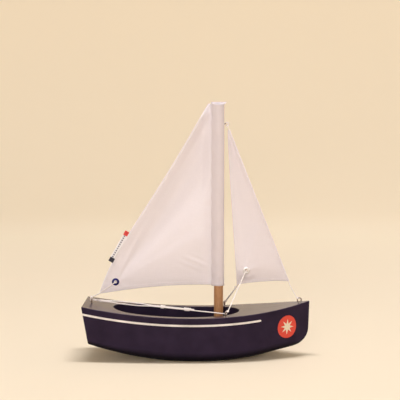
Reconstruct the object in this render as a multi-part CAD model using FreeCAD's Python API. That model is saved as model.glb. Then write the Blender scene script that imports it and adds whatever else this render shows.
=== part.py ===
import FreeCAD, Part
import math
import os

# A wooden toy sailing boat: a solid hull with a routed cockpit, one mast, a loose-footed
# mainsail with a sleeve over the mast, a jib on the forestay, and the elastic sheets.
# Millimetres. +X is the bow, +Y is port, +Z is up, and the hull stands on z = 0.

os.makedirs("parts", exist_ok=True)

# Hull lines
bow_x = 109.9
transom_top_x = -110.0
transom_bottom_x = -104.0
stem_x = 109.0
deck_low_x = -2.0
deck_low_z = 43.5
sheer_radius = 575.0
rocker_radius_aft = 330.0
rocker_radius_fore = 392.0
foot_depth = 0.4
forefoot_radius = 18.0
widest_x = -20.0
half_beam = 38.0
half_transom = 32.0
bow_fullness = 3.0
stem_half_width = 0.8
bilge_radius = 11.0
plain_reach = 3.0
transom_bilge_radius = 5.0

# Cockpit
cockpit_aft_x = -81.6
cockpit_fore_x = 41.2
cockpit_half_width = 30.0
cockpit_end_radius = 27.5
cockpit_floor_z = 18.5
deck_edge_radius = 0.7

# Mast
mast_x = 21.1
mast_radius = 4.5
mast_top_z = 246.0
mast_foot_z = 8.5

# Side stripe and bow badge
stripe_drop = 7.2
stripe_width = 2.0
stripe_depth = 0.6
stripe_fore_x = 60.5
badge_radius = 11.3
badge_narrowing = 0.89
badge_x = 87.0
badge_z = 31.6
badge_thickness = 0.25
star_points = 8
star_radius = 7.6
star_waist_radius = 3.0

# Screw eyes
eye_ring_radius = 2.0
eye_wire_radius = 0.6
eye_shank_depth = 7.0
stern_eye_x = -102.8
bow_eye_x = 100.1
side_eye_x = 27.5
side_eye_y = 33.0
mast_eye_x = 29.2
mast_eye_z = 226.7

# Cords
cord_radius = 0.6
knot_radius = 1.9
slip_gap = 0.3
slip_aft_at = 71.5
slip_fore_at = 96.0
moving_cord_space = 0.75

# Mainsail
cloth_thickness = 0.6
hem_thickness = 1.1
hem_width = 3.0
sleeve_gap = 0.35
sleeve_wall = 0.7
sleeve_bottom_z = 69.6
sleeve_cap = 0.9
main_head = (10.9, 246.4)
main_leech = [(-35.9, 168.2), (-62.3, 127.2), (-85.7, 86.2)]
main_clew_corner = (-95.6, 61.0)
main_foot_middle = (-42.0, 68.0)
main_foot_fore = (24.0, 70.3)
main_eyelet = (-79.4, 73.0)

# Jib
jib_head = (28.9, 226.7)
jib_tack = (89.3, 73.7)
jib_leech = [(31.6, 180.0), (35.2, 125.0)]
jib_clew_corner = (39.2, 69.3)
jib_foot_middle = (62.0, 72.4)
jib_top_gap = 6.0
jib_hem_width = 2.2
jib_eyelet = (48.2, 84.0)
luff_gap = 0.1
luff_wall = 0.55

# Eyelets
eyelet_radius = 3.6
eyelet_hole_radius = 1.5
eyelet_wall = 0.5
eyelet_flange = 0.7

# Leech tag
tag_width = 4.3
tag_length = 34.0
tag_end_length = 4.6
tag_thickness = 0.5


def vector(x, y, z):
    return FreeCAD.Vector(x, y, z)


def save(shape, name):
    solid = shape.removeSplitter()
    if len(solid.Solids) == 1:
        solid = solid.Solids[0]
    solid.exportStep("parts/" + name + ".step")


# Hull shape


def sheer_z(x):
    across = x - deck_low_x
    return deck_low_z + sheer_radius - math.sqrt(sheer_radius ** 2 - across ** 2)


def rocker_z(x):
    radius = rocker_radius_fore if x > 0 else rocker_radius_aft
    return radius - math.sqrt(radius ** 2 - x ** 2) - foot_depth


def half_breadth(x):
    if x <= widest_x:
        aft = (widest_x - x) / (widest_x - transom_top_x)
        return half_beam - (half_beam - half_transom) * aft ** 2
    fore = (x - widest_x) / (bow_x - widest_x)
    return half_beam * (1 - fore ** bow_fullness) + stem_half_width * fore ** bow_fullness


def bottom_share(x):
    fore = max(0.0, (x - widest_x) / (bow_x - widest_x))
    return 0.87 - 0.27 * fore ** 3


def bilge_at(x, half_bottom):
    aft = max(0.0, (widest_x - x) / (widest_x - transom_top_x))
    fore = max(0.0, (x - widest_x) / (bow_x - widest_x))
    full = bilge_radius - (bilge_radius - transom_bilge_radius) * aft ** 2 - 4.0 * fore ** 2
    return min(full, 0.7 * half_bottom)


def section_wire(top, bottom, extra, plain):
    """A closed hull section in the plane through top and bottom, (x, z) points on the centreline."""
    rise = vector(top[0] - bottom[0], 0, top[1] - bottom[1])
    height = rise.Length
    up = rise.normalize()
    origin = vector(bottom[0], 0, bottom[1])
    half_top = half_breadth(top[0]) + extra
    half_low = half_breadth(top[0]) * bottom_share(top[0]) + extra
    above = 8.0
    flare = (half_top - half_low) / height
    edge_top = (half_top + flare * above, height + above)
    corner = (half_low, 0.0)

    def place(point, hand):
        return origin + up * point[1] + vector(0, hand * point[0], 0)

    def line(a, b):
        return Part.LineSegment(a, b).toShape()

    if plain:
        low = (half_low - flare * plain_reach, -plain_reach)
        high = (edge_top[0] + flare * plain_reach, edge_top[1] + plain_reach)
        ring = [place(high, 1), place(high, -1), place(low, -1), place(low, 1)]
        return Part.Wire([line(ring[i], ring[(i + 1) % 4]) for i in range(4)])

    turn = math.pi / 2 + math.atan(flare)
    radius = bilge_at(top[0], half_low)
    reach = radius / math.tan(turn / 2)
    side = math.hypot(edge_top[0] - corner[0], edge_top[1] - corner[1])
    along = ((edge_top[0] - corner[0]) / side, (edge_top[1] - corner[1]) / side)
    on_side = (corner[0] + along[0] * reach, corner[1] + along[1] * reach)
    on_floor = (corner[0] - reach, 0.0)
    centre = (on_floor[0], radius)
    middle_angle = (math.atan2(on_side[1] - centre[1], on_side[0] - centre[0]) - math.pi / 2) / 2
    on_bilge = (centre[0] + radius * math.cos(middle_angle), centre[1] + radius * math.sin(middle_angle))
    edges = [line(place(edge_top, 1), place(edge_top, -1))]
    edges.append(line(place(edge_top, -1), place(on_side, -1)))
    edges.append(Part.Arc(place(on_side, -1), place(on_bilge, -1), place(on_floor, -1)).toShape())
    edges.append(line(place(on_floor, -1), place(on_floor, 1)))
    edges.append(Part.Arc(place(on_floor, 1), place(on_bilge, 1), place(on_side, 1)).toShape())
    edges.append(line(place(on_side, 1), place(edge_top, 1)))
    return Part.Wire(edges)


def hull_form(extra=0.0, plain=False):
    """The hull's outside form, with its sides moved outwards by extra; plain leaves the bilges square."""
    sections = []
    for step in range(9):
        share = step / 8
        top_x = transom_top_x + share * (84.0 - transom_top_x)
        bottom_x = transom_bottom_x + share * (80.0 - transom_bottom_x)
        top = (top_x, sheer_z(top_x))
        sections.append(section_wire(top, (bottom_x, rocker_z(bottom_x)), extra, plain))
    foot_start = stem_x - forefoot_radius
    lean = math.asin(foot_start / (rocker_radius_fore - forefoot_radius))
    centre_z = rocker_radius_fore - foot_depth - (rocker_radius_fore - forefoot_radius) * math.cos(lean)
    tops = [94.0, 101.0, 105.5, 108.2, bow_x]
    for step, top_x in enumerate(tops):
        angle = lean + step / (len(tops) - 1) * (math.radians(88) - lean)
        bottom_x = foot_start + forefoot_radius * math.sin(angle)
        bottom_z = centre_z - forefoot_radius * math.cos(angle)
        sections.append(section_wire((top_x, sheer_z(top_x)), (bottom_x, bottom_z), extra, plain))
    return Part.makeLoft(sections, True, False)


def side_prism(edges):
    """Fills a closed outline in the XZ plane and extrudes it across the whole hull."""
    face = Part.Face(Part.Wire(edges))
    face.translate(vector(0, -60, 0))
    return face.extrude(vector(0, 120, 0))


def above_deck(drop=0.0):
    """Everything above the sheer line lowered by drop."""
    left, right = -130.0, 130.0
    a = vector(left, 0, sheer_z(left) - drop)
    b = vector(deck_low_x, 0, deck_low_z - drop)
    c = vector(right, 0, sheer_z(right) - drop)
    d = vector(right, 0, 100)
    e = vector(left, 0, 100)
    edges = [Part.Arc(a, b, c).toShape(), Part.LineSegment(c, d).toShape()]
    edges += [Part.LineSegment(d, e).toShape(), Part.LineSegment(e, a).toShape()]
    return side_prism(edges)


def cockpit_cutter():
    centre_x = (cockpit_aft_x + cockpit_fore_x) / 2
    half_run = (cockpit_fore_x - cockpit_aft_x) / 2 - cockpit_end_radius
    bulge = cockpit_half_width - cockpit_end_radius
    side_radius = (cockpit_half_width ** 2 - cockpit_end_radius ** 2 + half_run ** 2) / (2 * bulge)
    sink = side_radius - cockpit_half_width
    reach = side_radius / (side_radius - cockpit_end_radius)
    touch_x = half_run * reach
    touch_y = sink * reach - sink
    z = cockpit_floor_z

    def spot(x, y):
        return vector(centre_x + x, y, z)

    end = half_run + cockpit_end_radius
    port_aft = spot(-touch_x, touch_y)
    port_fore = spot(touch_x, touch_y)
    starboard_fore = spot(touch_x, -touch_y)
    starboard_aft = spot(-touch_x, -touch_y)
    edges = [Part.Arc(port_aft, spot(0, cockpit_half_width), port_fore).toShape()]
    edges.append(Part.Arc(port_fore, spot(end, 0), starboard_fore).toShape())
    edges.append(Part.Arc(starboard_fore, spot(0, -cockpit_half_width), starboard_aft).toShape())
    edges.append(Part.Arc(starboard_aft, spot(-end, 0), port_aft).toShape())
    pocket = Part.Face(Part.Wire(edges)).extrude(vector(0, 0, 60))
    floor_edges = [e for e in pocket.Edges if e.BoundBox.ZMax < z + 0.01]
    return pocket.makeFillet(3.0, floor_edges)


# Small parts


def bar(start, end, radius):
    run = end - start
    return Part.makeCylinder(radius, run.Length, start, run)


def cord(points, radius=cord_radius):
    """A round cord along straight runs joined by tangent arcs."""
    edges = []
    here = points[0]
    for i in range(1, len(points) - 1):
        before = points[i] - points[i - 1]
        after = points[i + 1] - points[i]
        turn = before.getAngle(after)
        reach = 0.45 * min(before.Length, after.Length)
        into = points[i] - before.normalize() * reach
        out = points[i] + after.normalize() * reach
        chord_middle = (into + out) * 0.5
        inward = chord_middle - points[i]
        bend = reach / math.tan(turn / 2)
        print("cord of radius %.2f bends on an arc of radius %.2f" % (radius, bend))
        from_corner = math.hypot(bend, reach) - bend
        crown = points[i] + inward.normalize() * from_corner
        edges.append(Part.LineSegment(here, into).toShape())
        edges.append(Part.Arc(into, crown, out).toShape())
        here = out
    edges.append(Part.LineSegment(here, points[-1]).toShape())
    path = Part.Wire(edges)
    start = points[0]
    circle = Part.Wire(Part.makeCircle(radius, start, points[1] - points[0]))
    return path.makePipeShell([circle], True, False)


def screw_eye(centre, facing, into, ring=eye_ring_radius, wire=eye_wire_radius, depth=eye_shank_depth):
    """A bent-wire ring whose hole faces along facing, on a shank that goes into the wood."""
    loop = Part.makeTorus(ring, wire, centre, facing)
    collar = centre + into * (ring - 0.15)
    shank = bar(collar, centre + into * (ring + depth), wire)
    return loop.fuse(shank).removeSplitter()


def ball(centre, radius=knot_radius):
    return Part.makeSphere(radius, centre)


hull_body = hull_form().cut(above_deck()).cut(cockpit_cutter())
sole = Part.makeBox(260, 120, 20, vector(-130, -60, -20))
hull_body = hull_body.cut(sole)


def on_deck(edge):
    """Whether an edge lies in the deck's curved surface all the way along."""
    first, last = edge.ParameterRange
    spots = [edge.valueAt(first + (last - first) * k / 6) for k in range(7)]
    return all(abs(spot.z - sheer_z(spot.x)) < 0.05 for spot in spots)


hull_body = hull_body.makeFillet(deck_edge_radius, [e for e in hull_body.Edges if on_deck(e)])

# Mast, glued into its step in the cockpit floor
mast_tall = mast_top_z - mast_foot_z
mast = Part.makeCylinder(mast_radius, mast_tall, vector(mast_x, 0, mast_foot_z))
mast = mast.makeChamfer(0.5, [e for e in mast.Edges if e.Closed])
hull_body = hull_body.cut(Part.makeCylinder(mast_radius, mast_tall, vector(mast_x, 0, mast_foot_z)))

# Stripe inlaid in each side


def stripe_edge_point(x, offset):
    return vector(x, 0, sheer_z(x) - stripe_drop + offset)


half_stripe = stripe_width / 2
stripe_edges = []
for offset in (half_stripe, -half_stripe):
    low = stripe_edge_point(-125, offset)
    middle = stripe_edge_point(-30, offset)
    high = stripe_edge_point(stripe_fore_x, offset)
    stripe_edges.append(Part.Arc(low, middle, high).toShape())
stripe_nose = [stripe_edge_point(stripe_fore_x, half_stripe)]
stripe_nose.append(stripe_edge_point(stripe_fore_x, 0) + vector(half_stripe, 0, 0))
stripe_nose.append(stripe_edge_point(stripe_fore_x, -half_stripe))
stripe_edges.append(Part.Arc(*stripe_nose).toShape())
stripe_tail = [stripe_edge_point(-125, half_stripe), stripe_edge_point(-125, -half_stripe)]
stripe_edges.append(Part.LineSegment(*stripe_tail).toShape())
stripe_band = side_prism(Part.__sortEdges__(stripe_edges))
starboard_half = Part.makeBox(300, 80, 120, vector(-150, -80, 0))
port_half = Part.makeBox(300, 80, 120, vector(-150, 0, 0))
stripe_skin = hull_form().common(stripe_band).cut(hull_form(-stripe_depth, True))
stripe_starboard = stripe_skin.common(starboard_half)
stripe_port = stripe_skin.common(port_half)
hull_body = hull_body.cut(stripe_starboard).cut(stripe_port)

# Badge, a little narrower along the hull than it is tall, and its star, laid on each side of the bow
fore_share = (badge_x - widest_x) / (bow_x - widest_x)
plan_angle = math.atan(half_beam * bow_fullness * fore_share ** 2 / (bow_x - widest_x))
flare_angle = math.radians(9)
badge_y = half_breadth(badge_x) - 0.15 * (sheer_z(badge_x) - badge_z)


def badge_column(hand, outline):
    """Turns an outline drawn round +Z, its +X along the hull, so that it faces out of the hull side."""
    out = vector(math.sin(plan_angle), hand * math.cos(plan_angle), -math.sin(flare_angle)).normalize()
    along = vector(0, 0, 1).cross(out).normalize()
    turn = FreeCAD.Rotation(along, out.cross(along), out, "ZXY")
    outline = outline.copy()
    outline.Placement = FreeCAD.Placement(vector(badge_x, hand * badge_y, badge_z), turn)
    return outline


disc_height = vector(0, badge_radius, -15)
disc_width = vector(badge_radius * badge_narrowing, 0, -15)
disc_edge = Part.Ellipse(disc_height, disc_width, vector(0, 0, -15)).toShape()
disc = Part.Face(Part.Wire([disc_edge])).extrude(vector(0, 0, 30))
star_corners = []
for k in range(2 * star_points + 1):
    reach = star_radius if k % 2 == 0 else star_waist_radius
    turn = math.pi * k / star_points
    star_corners.append(vector(reach * badge_narrowing * math.cos(turn), reach * math.sin(turn), -15))
star = Part.Face(Part.makePolygon(star_corners)).extrude(vector(0, 0, 30))
hull_outside = hull_form()
badge_outside = hull_form(badge_thickness, True)
star_outside = hull_form(2 * badge_thickness, True)
badges = {}
for side_name, hand in (("starboard", -1), ("port", 1)):
    near_side = starboard_half if hand < 0 else port_half
    disc_column = badge_column(hand, disc).common(near_side)
    star_column = badge_column(hand, star).common(near_side)
    badges["badge_" + side_name] = badge_outside.common(disc_column).cut(hull_outside)
    badges["badge_star_" + side_name] = star_outside.common(star_column).cut(badge_outside)

# Screw eyes
down = vector(0, 0, -1)
ring_lift = eye_ring_radius + eye_wire_radius
bow_ring = vector(bow_eye_x, 0, sheer_z(bow_eye_x) + ring_lift)
stern_ring = vector(stern_eye_x, 0, sheer_z(stern_eye_x) + ring_lift)
starboard_ring = vector(side_eye_x, -side_eye_y + 2.5, sheer_z(side_eye_x) + ring_lift)
port_ring = vector(side_eye_x, side_eye_y - 2.5, sheer_z(side_eye_x) + ring_lift)
mast_ring = vector(mast_eye_x, 0, mast_eye_z)
sheet_run = (starboard_ring - stern_ring).normalize()
side_facing = vector(sheet_run.x, sheet_run.y, 0)
port_facing = vector(sheet_run.x, -sheet_run.y, 0)
bow_eye = screw_eye(bow_ring, vector(0.12, 0.99, 0), down)
stern_eye = screw_eye(stern_ring, vector(1, 0, 0), down)
eye_starboard = screw_eye(starboard_ring, side_facing, down)
eye_port = screw_eye(port_ring, port_facing, down)
mast_eye = screw_eye(mast_ring, vector(0, 1, 0), vector(-1, 0, 0), 1.5, 0.5, 5.2)
for eye in (bow_eye, stern_eye, eye_starboard, eye_port):
    hull_body = hull_body.cut(eye)
mast = mast.cut(mast_eye)

# Forestay: one straight run that the jib turns on, then a short run down to the bow eye
luff_run = vector(jib_tack[0] - jib_head[0], 0, jib_tack[1] - jib_head[1]).normalize()
stay_top = mast_ring + vector(1.5, 0, -1.2)
luff_start = vector(jib_head[0], 0, jib_head[1]) + luff_run * jib_top_gap
luff_end = vector(jib_tack[0], 0, jib_tack[1])
axis_top = vector(jib_head[0], 0, jib_head[1]) + luff_run * 2.2
stay_bend = luff_end + luff_run * 6.5
stay_foot = bow_ring + vector(-2.5, 0, 2.4)
forestay = cord([axis_top, stay_bend, stay_foot])
forestay_head_knot = ball(axis_top + luff_run * -0.4, 1.7).cut(mast_eye).cut(forestay)
forestay_bow_knot = ball(stay_foot + vector(0.5, 0, -0.5), 1.8).cut(bow_eye).cut(forestay)

# Deck sheet from the stern eye to the starboard eye, with a second strand beside it
sheet_end = starboard_ring + sheet_run * 1.4
deck_sheet = cord([stern_ring + sheet_run * -1.2, sheet_end])
beside = sheet_run.cross(vector(0, 0.77, 0.64)).cross(sheet_run).normalize() * (2 * cord_radius + 0.05)
return_start = stern_ring + beside + sheet_run * 2.6
return_end = stern_ring + beside + sheet_run * 103.0
deck_sheet_return = cord([return_start, return_end])
stern_knot = ball(stern_ring + vector(-0.6, 0, 2.2), 1.8)
stern_knot = stern_knot.cut(stern_eye).cut(deck_sheet)


def slip_bore(distance):
    """The oval space that both strands need inside a knot that slides on them."""
    wide = cord_radius + slip_gap
    centre = stern_ring + sheet_run * (distance - 6)
    flat_way = sheet_run.cross(beside).normalize() * wide
    corners = [centre + flat_way, centre + beside + flat_way, centre + beside - flat_way, centre - flat_way]
    round_high = Part.Arc(corners[1], centre + beside + beside.normalize() * wide, corners[2]).toShape()
    round_low = Part.Arc(corners[3], centre - beside.normalize() * wide, corners[0]).toShape()
    sides = [Part.LineSegment(corners[0], corners[1]).toShape()]
    sides += [round_high, Part.LineSegment(corners[2], corners[3]).toShape(), round_low]
    return Part.Face(Part.Wire(sides)).extrude(sheet_run * 12)


def sliding_knot(distance, length, radius):
    centre = stern_ring + beside * 0.5 + sheet_run * distance
    body = bar(centre - sheet_run * (length / 2), centre + sheet_run * (length / 2), radius)
    return body.common(ball(centre, 0.57 * length)).cut(slip_bore(distance))


sliding_knot_aft = sliding_knot(slip_aft_at, 4.2, 2.1)
sliding_knot_fore = sliding_knot(slip_fore_at, 6.4, 1.95)

# Mainsail: sleeve, panel, hem, eyelet and tag


def flat_point(spot):
    return vector(spot[0], 0, spot[1])


def curve_through(spots):
    curve = Part.BSplineCurve()
    curve.interpolate([flat_point(s) for s in spots])
    return curve.toShape()


def line_between(a, b):
    return Part.LineSegment(flat_point(a), flat_point(b)).toShape()


sleeve_inner = mast_radius + sleeve_gap
sleeve_outer = sleeve_inner + sleeve_wall
sleeve_top_z = mast_top_z + sleeve_gap + sleeve_cap
sleeve_tall = sleeve_top_z - sleeve_bottom_z
sleeve_solid = Part.makeCylinder(sleeve_outer, sleeve_tall, vector(mast_x, 0, sleeve_bottom_z))
sleeve_hollow = Part.makeCylinder(
    sleeve_inner, mast_top_z + sleeve_gap - sleeve_bottom_z, vector(mast_x, 0, sleeve_bottom_z)
)
eye_slot = Part.makeBox(8, 4.4, 3.0, vector(mast_x + 2, -2.2, mast_eye_z - 1.5))
mainsail_sleeve = sleeve_solid.cut(sleeve_hollow).cut(eye_slot)

main_edges = [curve_through([main_head] + main_leech + [main_clew_corner])]
main_edges.append(
    Part.Arc(flat_point(main_clew_corner), flat_point(main_foot_middle), flat_point(main_foot_fore)).toShape()
)
main_luff_top = (main_foot_fore[0], main_head[1])
main_edges.append(line_between(main_foot_fore, main_luff_top))
main_edges.append(line_between(main_luff_top, main_head))
main_face = Part.Face(Part.Wire(main_edges))


def slab(face, thickness):
    moved = face.copy()
    moved.translate(vector(0, -thickness / 2, 0))
    return moved.extrude(vector(0, thickness, 0))


def inside_hems(face, leech_shift, foot_shift):
    """The part of a sail that lies inside its leech hem and its foot hem, thicker than the hems."""
    from_leech = slab(face, 4 * hem_thickness)
    from_leech.translate(vector(leech_shift, 0, 0))
    from_foot = slab(face, 4 * hem_thickness)
    from_foot.translate(vector(0, 0, foot_shift))
    return from_leech.common(from_foot)


def across(spot, radius, thickness):
    """A round bar through the cloth at spot."""
    return Part.makeCylinder(radius, thickness, vector(spot[0], -thickness / 2, spot[1]), vector(0, 1, 0))


main_hem_band = slab(main_face, hem_thickness).cut(inside_hems(main_face, 1.15 * hem_width, hem_width))
mainsail_hem = main_hem_band.cut(sleeve_solid)
head_side = Part.makeBox(60, 20, 300, vector(mast_x, -10, 0))
mainsail_hem = mainsail_hem.cut(head_side)
mainsail_panel = slab(main_face, cloth_thickness).cut(main_hem_band).cut(sleeve_solid).cut(head_side)
mainsail_panel = mainsail_panel.cut(across(main_eyelet, eyelet_hole_radius + eyelet_wall, 10))


def eyelet(spot, hand):
    """The flanged half of an eyelet; hand is the side its flange lies on."""
    start = vector(spot[0], hand * (cloth_thickness / 2), spot[1])
    flange = Part.makeCylinder(eyelet_radius, eyelet_flange, start, vector(0, hand, 0))
    return flange.makeFillet(0.3, [e for e in flange.Edges if e.Closed and abs(e.BoundBox.YMax) > 0.5])


def eyelet_pair(spot):
    hole = across(spot, eyelet_hole_radius, 10)
    barrel = across(spot, eyelet_hole_radius + eyelet_wall, cloth_thickness + 2 * eyelet_flange - 0.1)
    front = eyelet(spot, -1).fuse(barrel).cut(hole).removeSplitter()
    back = eyelet(spot, 1).cut(across(spot, eyelet_hole_radius + eyelet_wall, 10))
    return front, back


main_clew_eyelet, main_clew_washer = eyelet_pair(main_eyelet)

leech_low = flat_point(main_leech[2])
leech_high = flat_point(main_leech[1])
leech_along = (leech_high - leech_low).normalize()
leech_out = vector(-leech_along.z, 0, leech_along.x)
tag_middle = leech_low + leech_along * 23.5 + leech_out * 0.35


def tag_piece(start, end):
    a = tag_middle + leech_along * start
    b = tag_middle + leech_along * end
    corners = [a, b, b + leech_out * tag_width, a + leech_out * tag_width, a]
    return slab(Part.Face(Part.makePolygon(corners)), tag_thickness).cut(main_hem_band)


tag_half = tag_length / 2
tag_ribbon = tag_piece(-tag_half + tag_end_length, tag_half - tag_end_length)
tag_red_end = tag_piece(tag_half - tag_end_length, tag_half)
tag_blue_end = tag_piece(-tag_half, -tag_half + tag_end_length)

# Jib: luff hem round the forestay, panel, hem and eyelet
luff_inner = cord_radius + luff_gap
luff_outer = luff_inner + luff_wall
luff_solid = bar(luff_start, luff_end, luff_outer)
luff_space = bar(luff_start - luff_run * 5, luff_end + luff_run * 5, luff_inner)
jib_luff_hem = luff_solid.cut(luff_space)
luff_side = vector(luff_run.z, 0, -luff_run.x) * luff_outer
jib_top = (luff_start.x + luff_side.x, luff_start.z + luff_side.z)
jib_low = (luff_end.x + luff_side.x, luff_end.z + luff_side.z)
jib_leech_top = (jib_top[0] - 1.6, jib_top[1] - 0.8)
jib_edges = [line_between(jib_low, jib_top), line_between(jib_top, jib_leech_top)]
jib_edges.append(curve_through([jib_leech_top] + jib_leech + [jib_clew_corner]))
jib_edges.append(
    Part.Arc(flat_point(jib_clew_corner), flat_point(jib_foot_middle), flat_point(jib_low)).toShape()
)
jib_face = Part.Face(Part.Wire(jib_edges))
jib_hem = slab(jib_face, hem_thickness).cut(inside_hems(jib_face, jib_hem_width, jib_hem_width))
jib_panel = slab(jib_face, cloth_thickness).cut(jib_hem)
jib_panel = jib_panel.cut(across(jib_eyelet, eyelet_hole_radius + eyelet_wall, 10))
jib_clew_eyelet, jib_clew_washer = eyelet_pair(jib_eyelet)

# Mainsheet: from a knot behind the clew eyelet, through it and over the corner to the stern eye
main_hole = flat_point(main_eyelet)
side_gap = cord_radius + hem_thickness / 2 + 0.25
mainsheet_points = [main_hole + vector(0.2, 2.2, 0.2), main_hole + vector(-0.2, -2.2, -0.2)]
mainsheet_points.append(vector(-94.0, -side_gap - 0.2, 62.6))
mainsheet_points.append(stern_ring + vector(0.4, -0.7, 3.4))
mainsheet = cord(mainsheet_points)
mainsheet_clew_knot = ball(main_hole + vector(0.2, 2.9, 0.2), 1.7).cut(main_clew_washer).cut(mainsheet)
mainsheet_clew_knot = mainsheet_clew_knot.cut(main_clew_eyelet)
stern_knot = stern_knot.cut(cord(mainsheet_points, moving_cord_space))

# Jib sheets: from the clew eyelet down to the two side eyes
jib_hole = flat_point(jib_eyelet)
starboard_points = [jib_hole + vector(0.1, 2.2, 0.2), jib_hole + vector(-0.2, -2.6, -0.4)]
starboard_points.append(starboard_ring + vector(3.4, 0.6, 3.4))
jib_sheet_starboard = cord(starboard_points)
port_top = jib_hole + vector(-0.6, 4.2, -1.0)
port_foot = port_ring + vector(0.6, -0.6, 3.0)
jib_sheet_port = cord([port_top, port_foot])
starboard_space = cord(starboard_points, moving_cord_space)
port_space = cord([port_top, port_foot], moving_cord_space)
knot_share = 0.56
port_knot_centre = port_top + (port_foot - port_top) * knot_share
jib_sheet_knot = ball(port_knot_centre, 1.5).cut(jib_sheet_port)
jib_clew_knot = ball(jib_hole + vector(-0.2, 3.0, -0.2), 1.8)
jib_clew_knot = jib_clew_knot.cut(jib_clew_washer).cut(jib_clew_eyelet)
jib_clew_knot = jib_clew_knot.cut(jib_sheet_starboard).cut(jib_sheet_port)
starboard_turn = ball(starboard_ring + vector(2.6, 0.2, 2.2), 1.7)
starboard_turn = starboard_turn.cut(eye_starboard).cut(deck_sheet).cut(starboard_space)
port_eye_knot = ball(port_foot + vector(-0.2, 0.2, -0.6), 1.6).cut(eye_port).cut(port_space)

nodes = {
    "hull": hull_body,
    "mast": mast,
    "stripe_starboard": stripe_starboard,
    "stripe_port": stripe_port,
    "bow_eye": bow_eye,
    "stern_eye": stern_eye,
    "eye_starboard": eye_starboard,
    "eye_port": eye_port,
    "mast_eye": mast_eye,
    "forestay": forestay,
    "forestay_head_knot": forestay_head_knot,
    "forestay_bow_knot": forestay_bow_knot,
    "deck_sheet": deck_sheet,
    "deck_sheet_return": deck_sheet_return,
    "stern_knot": stern_knot,
    "sliding_knot_aft": sliding_knot_aft,
    "sliding_knot_fore": sliding_knot_fore,
    "mainsail_sleeve": mainsail_sleeve,
    "mainsail_panel": mainsail_panel,
    "mainsail_hem": mainsail_hem,
    "main_clew_eyelet": main_clew_eyelet,
    "main_clew_washer": main_clew_washer,
    "tag_ribbon": tag_ribbon,
    "tag_red_end": tag_red_end,
    "tag_blue_end": tag_blue_end,
    "jib_luff_hem": jib_luff_hem,
    "jib_panel": jib_panel,
    "jib_hem": jib_hem,
    "jib_clew_eyelet": jib_clew_eyelet,
    "jib_clew_washer": jib_clew_washer,
    "mainsheet": mainsheet,
    "mainsheet_clew_knot": mainsheet_clew_knot,
    "jib_sheet_starboard": jib_sheet_starboard,
    "jib_sheet_port": jib_sheet_port,
    "jib_sheet_knot": jib_sheet_knot,
    "jib_clew_knot": jib_clew_knot,
    "sheet_knot_starboard": starboard_turn,
    "sheet_knot_port": port_eye_knot,
}
nodes.update(badges)
for name, shape in nodes.items():
    save(shape, name)
    print("%-22s solids %d valid %s volume %.2f" % (name, len(shape.Solids), shape.isValid(), shape.Volume))
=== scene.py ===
import bpy
import math
import numpy as np
from mathutils import Matrix, Vector


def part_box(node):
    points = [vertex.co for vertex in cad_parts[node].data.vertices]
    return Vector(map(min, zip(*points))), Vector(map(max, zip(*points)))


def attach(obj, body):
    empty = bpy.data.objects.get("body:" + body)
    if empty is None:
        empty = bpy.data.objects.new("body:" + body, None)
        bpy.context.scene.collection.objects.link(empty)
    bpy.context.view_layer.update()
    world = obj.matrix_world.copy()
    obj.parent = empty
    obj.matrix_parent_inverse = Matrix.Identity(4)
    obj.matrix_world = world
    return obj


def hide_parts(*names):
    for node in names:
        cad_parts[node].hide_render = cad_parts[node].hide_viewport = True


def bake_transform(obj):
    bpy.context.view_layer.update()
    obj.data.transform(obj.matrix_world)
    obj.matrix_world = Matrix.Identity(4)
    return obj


# The looks of a wooden toy sailing boat: cloth sails, braided cords with their knots, bent-wire
# screw eyes and pressed eyelets, round the hull, mast, stripes and badges of the CAD model.
# Metres. +X is the bow, +Y is port, +Z is up.

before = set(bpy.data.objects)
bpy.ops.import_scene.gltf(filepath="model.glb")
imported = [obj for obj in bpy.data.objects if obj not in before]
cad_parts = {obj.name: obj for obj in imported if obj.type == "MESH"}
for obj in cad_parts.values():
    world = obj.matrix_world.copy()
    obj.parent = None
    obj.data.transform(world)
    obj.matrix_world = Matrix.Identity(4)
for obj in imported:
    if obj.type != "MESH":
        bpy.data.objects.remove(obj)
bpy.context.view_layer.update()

MM = 0.001

# Camera: a long lens, slightly above the sails' middle and looking slightly down
CAMERA_AT = (0.00302, -1.0938, 0.23766)
CAMERA_PITCH = math.radians(4.42)
CAMERA_LENS = 101.7

# Sizes shared with the CAD source
MAST_X = 21.1 * MM
SLEEVE_RADIUS = 5.5 * MM
SLEEVE_LOW = 69.6 * MM
CORD = 0.52 * MM
MAIN_LEECH = [(-95.6, 61.0), (-85.7, 86.2), (-62.3, 127.2), (-35.9, 168.2), (10.9, 246.4)]
MAIN_FOOT = [(15.0, 70.2), (-42.0, 68.0), (-95.6, 61.0)]
MAIN_LUFF = [(15.0, 70.2), (15.0, 246.4)]
MAIN_EYELET = (-79.4, 73.0)
JIB_LEECH = [(39.2, 69.3), (35.2, 125.0), (31.6, 180.0), (29.6, 220.4)]
JIB_LUFF = [(88.6, 73.6), (30.6, 221.2)]
JIB_FOOT = [(88.6, 73.6), (62.0, 72.6), (39.2, 69.3)]
JIB_EYELET = (48.2, 84.0)
JIB_HEAD = Vector((28.9, 0, 226.7)) * MM
JIB_TACK = Vector((89.3, 0, 73.7)) * MM
EYELET_RADIUS = 3.6 * MM
EYELET_HOLE = 1.5 * MM
MAST_EYE_Z = 226.7 * MM
CLOTH = 0.42 * MM
STITCH = 0.13 * MM

# Hull paint tints: a painted sheen on the deck's upward faces, lighter and redder for the bright
# reflection on its gloss, and painted shade on faces turned down under the bilge, much darker
DECK_SHEEN_TINT = (0.038, 0.0165, 0.042)
BOTTOM_SHADE_TINT = (0.005, 0.0035, 0.008)

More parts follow.
